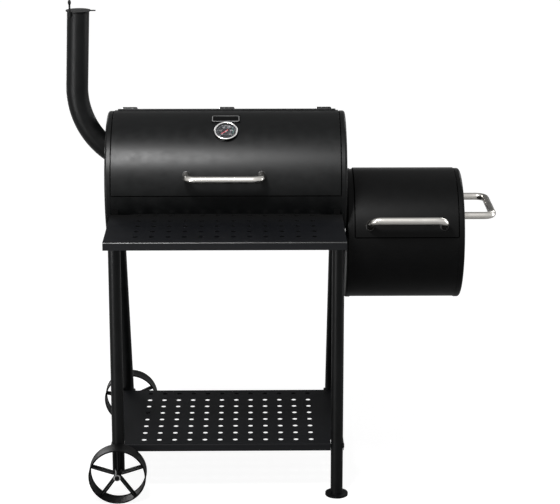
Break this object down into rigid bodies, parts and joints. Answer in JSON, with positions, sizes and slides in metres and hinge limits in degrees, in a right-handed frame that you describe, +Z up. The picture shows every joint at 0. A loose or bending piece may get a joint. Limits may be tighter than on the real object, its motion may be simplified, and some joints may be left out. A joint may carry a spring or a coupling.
{
  "type": "offset smoker",
  "caption": "Offset smoker: a lidded cooking drum with a side firebox and a bent chimney, on tilted legs with wheels, feet and perforated shelves.",
  "frame": {"origin": "middle of the object's bounding box, on the floor that the wheels and feet stand on", "axes": "+X from the chimney towards the firebox along the drum, +Y from the lids' handles towards the rear, +Z up"},
  "size_m": [1.1218, 0.7296, 1.2783],
  "materials": {
    "black_paint": "satin black heat-proof powder coat",
    "shelf_paint": "satin black powder coat, slightly bluish",
    "plate_paint": "smooth black enamel with a pale border line",
    "handle_steel": "satin stainless steel",
    "zinc": "zinc plated",
    "grate_wire": "chromed wire",
    "bezel_steel": "polished stainless steel",
    "dial": "dark printed dial",
    "dial_glass": "flat clear glass",
    "pointer_red": "red lacquer"
  },
  "bodies": {
    "smoker_frame": {"drum_shell": "black_paint", "drum_left_cap": "black_paint", "drum_right_cap": "black_paint", "chimney_pipe": "black_paint", "chimney_flange": "black_paint", "damper_screw": "black_paint", "damper_knob": "black_paint", "firebox_shell": "black_paint", "firebox_left_cap": "black_paint", "firebox_right_cap": "black_paint", "side_handle": "handle_steel", "side_handle_screws": "zinc", "left_cooking_grate": "grate_wire", "right_cooking_grate": "grate_wire", "cooking_grate_ledges": "black_paint", "charcoal_grate": "grate_wire", "charcoal_grate_ledges": "black_paint", "front_left_leg": "black_paint", "front_right_leg": "black_paint", "rear_left_leg": "black_paint", "rear_right_leg": "black_paint", "front_foot": "black_paint", "rear_foot": "black_paint", "front_leg_brackets": "black_paint", "rear_leg_brackets": "black_paint", "bracket_bolts": "zinc", "front_shelf": "shelf_paint", "bottom_shelf": "shelf_paint", "shelf_bolts": "zinc", "wheel_axle": "zinc", "axle_sleeves": "black_paint", "axle_washers": "bezel_steel", "axle_caps": "black_paint", "lid_hinge_bases": "black_paint", "lid_hinge_pins": "zinc", "firebox_hinge_bases": "black_paint", "firebox_hinge_pins": "zinc", "throat_bolts": "zinc", "vent_rivet": "zinc"},
    "drum_lid": {"drum_lid": "black_paint", "lid_handle": "handle_steel", "lid_handle_screws": "zinc", "name_plate": "plate_paint", "thermometer_case": "bezel_steel", "thermometer_dial": "dial", "thermometer_glass": "dial_glass", "lid_hinge_leaves": "black_paint"},
    "thermometer_pointer": {"thermometer_pointer": "pointer_red"},
    "firebox_lid": {"firebox_lid": "black_paint", "firebox_lid_handle": "handle_steel", "firebox_lid_handle_screws": "zinc", "firebox_lid_hinge_leaves": "black_paint"},
    "damper": {"chimney_damper": "black_paint"},
    "air_vent": {"vent_plate": "black_paint"},
    "front_wheel": {"front_wheel": "black_paint", "front_wheel_hub": "black_paint"},
    "rear_wheel": {"rear_wheel": "black_paint", "rear_wheel_hub": "black_paint"}
  },
  "joints": [
    {"name": "lid_hinge", "type": "hinge", "parent": "smoker_frame", "child": "drum_lid", "pos_m": [-0.14723, 0.11689, 0.97614], "axis": [-1, 0, 0], "range_deg": [0, 95]},
    {"name": "firebox_lid_hinge", "type": "hinge", "parent": "smoker_frame", "child": "firebox_lid", "pos_m": [0.31877, 0.16389, 0.79456], "axis": [-1, 0, 0], "range_deg": [0, 95]},
    {"name": "damper_swing", "type": "hinge", "parent": "smoker_frame", "child": "damper", "pos_m": [-0.54541, 0.03468, 1.245], "axis": [0, 0, 1], "range_deg": [0, 110]},
    {"name": "vent_turn", "type": "hinge", "parent": "smoker_frame", "child": "air_vent", "pos_m": [0.46877, 0.0602, 0.6], "axis": [1, 0, 0], "range_deg": [0, 60]},
    {"name": "front_wheel_spin", "type": "hinge", "parent": "smoker_frame", "child": "front_wheel", "pos_m": [-0.43423, -0.2148, 0.075], "axis": [0, 1, 0], "continuous": true},
    {"name": "rear_wheel_spin", "type": "hinge", "parent": "smoker_frame", "child": "rear_wheel", "pos_m": [-0.43423, 0.3332, 0.075], "axis": [0, 1, 0], "continuous": true},
    {"name": "pointer_turn", "type": "hinge", "parent": "drum_lid", "child": "thermometer_pointer", "pos_m": [-0.14723, -0.04685, 0.95276], "axis": [0, -0.5664, 0.8241], "range_deg": [-250, 20]}
  ]
}
